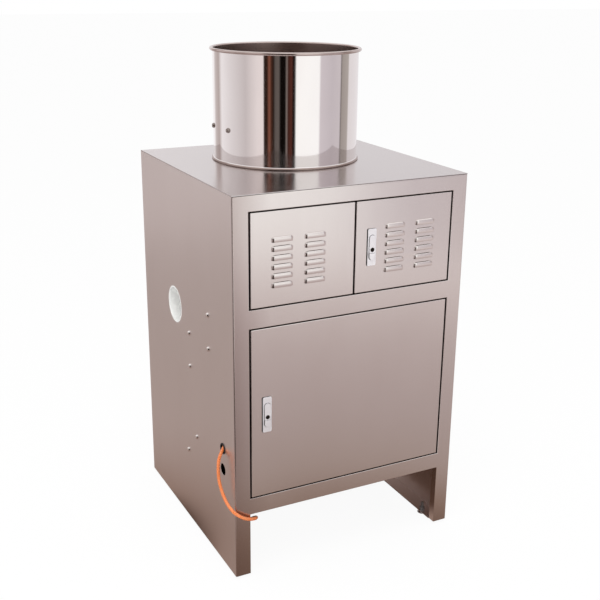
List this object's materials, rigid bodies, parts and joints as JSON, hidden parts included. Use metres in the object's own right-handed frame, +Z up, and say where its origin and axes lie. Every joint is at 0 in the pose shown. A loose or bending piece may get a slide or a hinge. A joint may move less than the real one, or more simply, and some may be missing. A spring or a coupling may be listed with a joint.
{
  "type": "garlic peeling machine",
  "caption": "Stainless floor cabinet on four legs with a round open hopper on top, louvred upper doors, a wide lower door with a push latch, a side exhaust port and an air hose.",
  "frame": {"origin": "on the floor under the middle of the cabinet", "axes": "+Z up, -Y towards the front with the doors, +X to the right seen from the front"},
  "size_m": [0.6243, 0.6194, 1.2016],
  "materials": {
    "brushed": "brushed",
    "polished": "polished",
    "zinc": "zinc plated",
    "aluminium": "satin",
    "brass": "machined",
    "black_plastic": "moulded",
    "white_plastic": "moulded",
    "grey_plastic": "moulded",
    "motor_paint": "painted",
    "dark_steel": "blackened",
    "rubber": "moulded",
    "hose": "smooth"
  },
  "bodies": {
    "cabinet": {"left_side_panel": "brushed", "right_side_panel": "brushed", "front_frame": "brushed", "top_panel": "brushed", "back_panel": "brushed", "floor_pan": "brushed", "divider_shelf": "brushed", "hopper_baffle": "brushed", "feed_tube": "brushed", "chamber_lid": "brushed", "peel_chamber": "brushed", "outlet_chute": "brushed", "chute_bracket": "brushed", "valve_bracket": "brushed", "hopper_shell": "polished", "front_left_foot": "zinc", "front_right_foot": "zinc", "rear_left_foot": "zinc", "rear_right_foot": "zinc", "gearbox": "aluminium", "gate_frame": "aluminium", "gate_cylinder": "aluminium", "valve_block": "aluminium", "left_air_nozzle": "brass", "right_air_nozzle": "brass", "hose_fitting": "brass", "coil_tie": "black_plastic", "exhaust_pipe": "white_plastic", "air_regulator": "grey_plastic", "control_box": "grey_plastic", "feed_motor": "motor_paint", "pressure_gauge": "dark_steel", "hose_grommet": "rubber", "supply_tube": "hose", "left_nozzle_tube": "hose", "right_nozzle_tube": "hose", "air_hose": "hose", "air_hose_coil": "hose"},
    "upper_left_door": {"upper_left_door": "brushed"},
    "upper_right_door": {"upper_right_door": "brushed", "upper_latch_plate": "polished"},
    "lower_door": {"lower_door": "brushed", "lower_latch_plate": "polished"},
    "feed_rotor": {"feed_disc": "white_plastic", "stirrer": "polished", "drive_shaft": "polished"},
    "gate": {"gate_slide": "polished"},
    "regulator_knob": {"regulator_knob": "black_plastic"},
    "feed_timer_knob": {"feed_timer_knob": "black_plastic"},
    "peel_timer_knob": {"peel_timer_knob": "black_plastic"},
    "power_switch": {"power_switch": "black_plastic"},
    "upper_latch_spindle": {"upper_latch_tongue": "zinc"},
    "upper_latch_lever": {"upper_latch_lever": "polished"},
    "upper_latch_key": {"upper_key_plug": "dark_steel"},
    "upper_latch_button": {"upper_latch_button": "polished"},
    "lower_latch_spindle": {"lower_latch_tongue": "zinc"},
    "lower_latch_lever": {"lower_latch_lever": "polished"},
    "lower_latch_key": {"lower_key_plug": "dark_steel"},
    "lower_latch_button": {"lower_latch_button": "polished"}
  },
  "joints": [
    {"name": "upper_left_door_hinge", "type": "hinge", "parent": "cabinet", "child": "upper_left_door", "pos_m": [-0.25, -0.292, 0.784], "axis": [0, 0, -1], "range_deg": [0, 105]},
    {"name": "upper_right_door_hinge", "type": "hinge", "parent": "cabinet", "child": "upper_right_door", "pos_m": [0.25, -0.292, 0.784], "axis": [0, 0, 1], "range_deg": [0, 105]},
    {"name": "lower_door_hinge", "type": "hinge", "parent": "cabinet", "child": "lower_door", "pos_m": [0.25, -0.292, 0.41945], "axis": [0, 0, 1], "range_deg": [0, 105]},
    {"name": "upper_latch_spindle_turn", "type": "hinge", "parent": "upper_right_door", "child": "upper_latch_spindle", "pos_m": [0.0435, -0.3023, 0.8036], "axis": [0, 1, 0], "range_deg": [0, 90]},
    {"name": "upper_latch_lever_lift", "type": "hinge", "parent": "upper_latch_spindle", "child": "upper_latch_lever", "pos_m": [0.0435, -0.3026, 0.8111], "axis": [-1, 0, 0], "range_deg": [0, 40]},
    {"name": "upper_latch_key_turn", "type": "hinge", "parent": "upper_latch_lever", "child": "upper_latch_key", "pos_m": [0.0435, -0.3054, 0.7771], "axis": [0, -1, 0], "range_deg": [0, 90]},
    {"name": "upper_latch_button_press", "type": "slide", "parent": "upper_right_door", "child": "upper_latch_button", "axis": [0, 1, 0], "range_m": [0, 0.0015], "stiffness_N_per_m": 300},
    {"name": "lower_latch_spindle_turn", "type": "hinge", "parent": "lower_door", "child": "lower_latch_spindle", "pos_m": [-0.2193, -0.3023, 0.43905], "axis": [0, 1, 0], "range_deg": [0, 90]},
    {"name": "lower_latch_lever_lift", "type": "hinge", "parent": "lower_latch_spindle", "child": "lower_latch_lever", "pos_m": [-0.2193, -0.3026, 0.44655], "axis": [-1, 0, 0], "range_deg": [0, 40]},
    {"name": "lower_latch_key_turn", "type": "hinge", "parent": "lower_latch_lever", "child": "lower_latch_key", "pos_m": [-0.2193, -0.3054, 0.41255], "axis": [0, -1, 0], "range_deg": [0, 90]},
    {"name": "lower_latch_button_press", "type": "slide", "parent": "lower_door", "child": "lower_latch_button", "axis": [0, 1, 0], "range_m": [0, 0.0015], "stiffness_N_per_m": 300},
    {"name": "feed_rotor_turn", "type": "hinge", "parent": "cabinet", "child": "feed_rotor", "pos_m": [0, 0.061, 0.932], "axis": [0, 0, 1], "continuous": true},
    {"name": "gate_slide_travel", "type": "slide", "parent": "cabinet", "child": "gate", "axis": [1, 0, 0], "range_m": [0, 0.145]},
    {"name": "regulator_knob_turn", "type": "hinge", "parent": "cabinet", "child": "regulator_knob", "pos_m": [-0.24, -0.19, 0.4203], "axis": [0, 0, 1], "range_deg": [0, 540]},
    {"name": "feed_timer_knob_turn", "type": "hinge", "parent": "cabinet", "child": "feed_timer_knob", "pos_m": [0.1582, -0.2, 0.7218], "axis": [0, -1, 0], "range_deg": [0, 270]},
    {"name": "peel_timer_knob_turn", "type": "hinge", "parent": "cabinet", "child": "peel_timer_knob", "pos_m": [0.2282, -0.2, 0.7218], "axis": [0, -1, 0], "range_deg": [0, 270]},
    {"name": "power_switch_rock", "type": "hinge", "parent": "cabinet", "child": "power_switch", "pos_m": [0.1932, -0.19895, 0.6818], "axis": [1, 0, 0], "range_deg": [0, 16]}
  ]
}
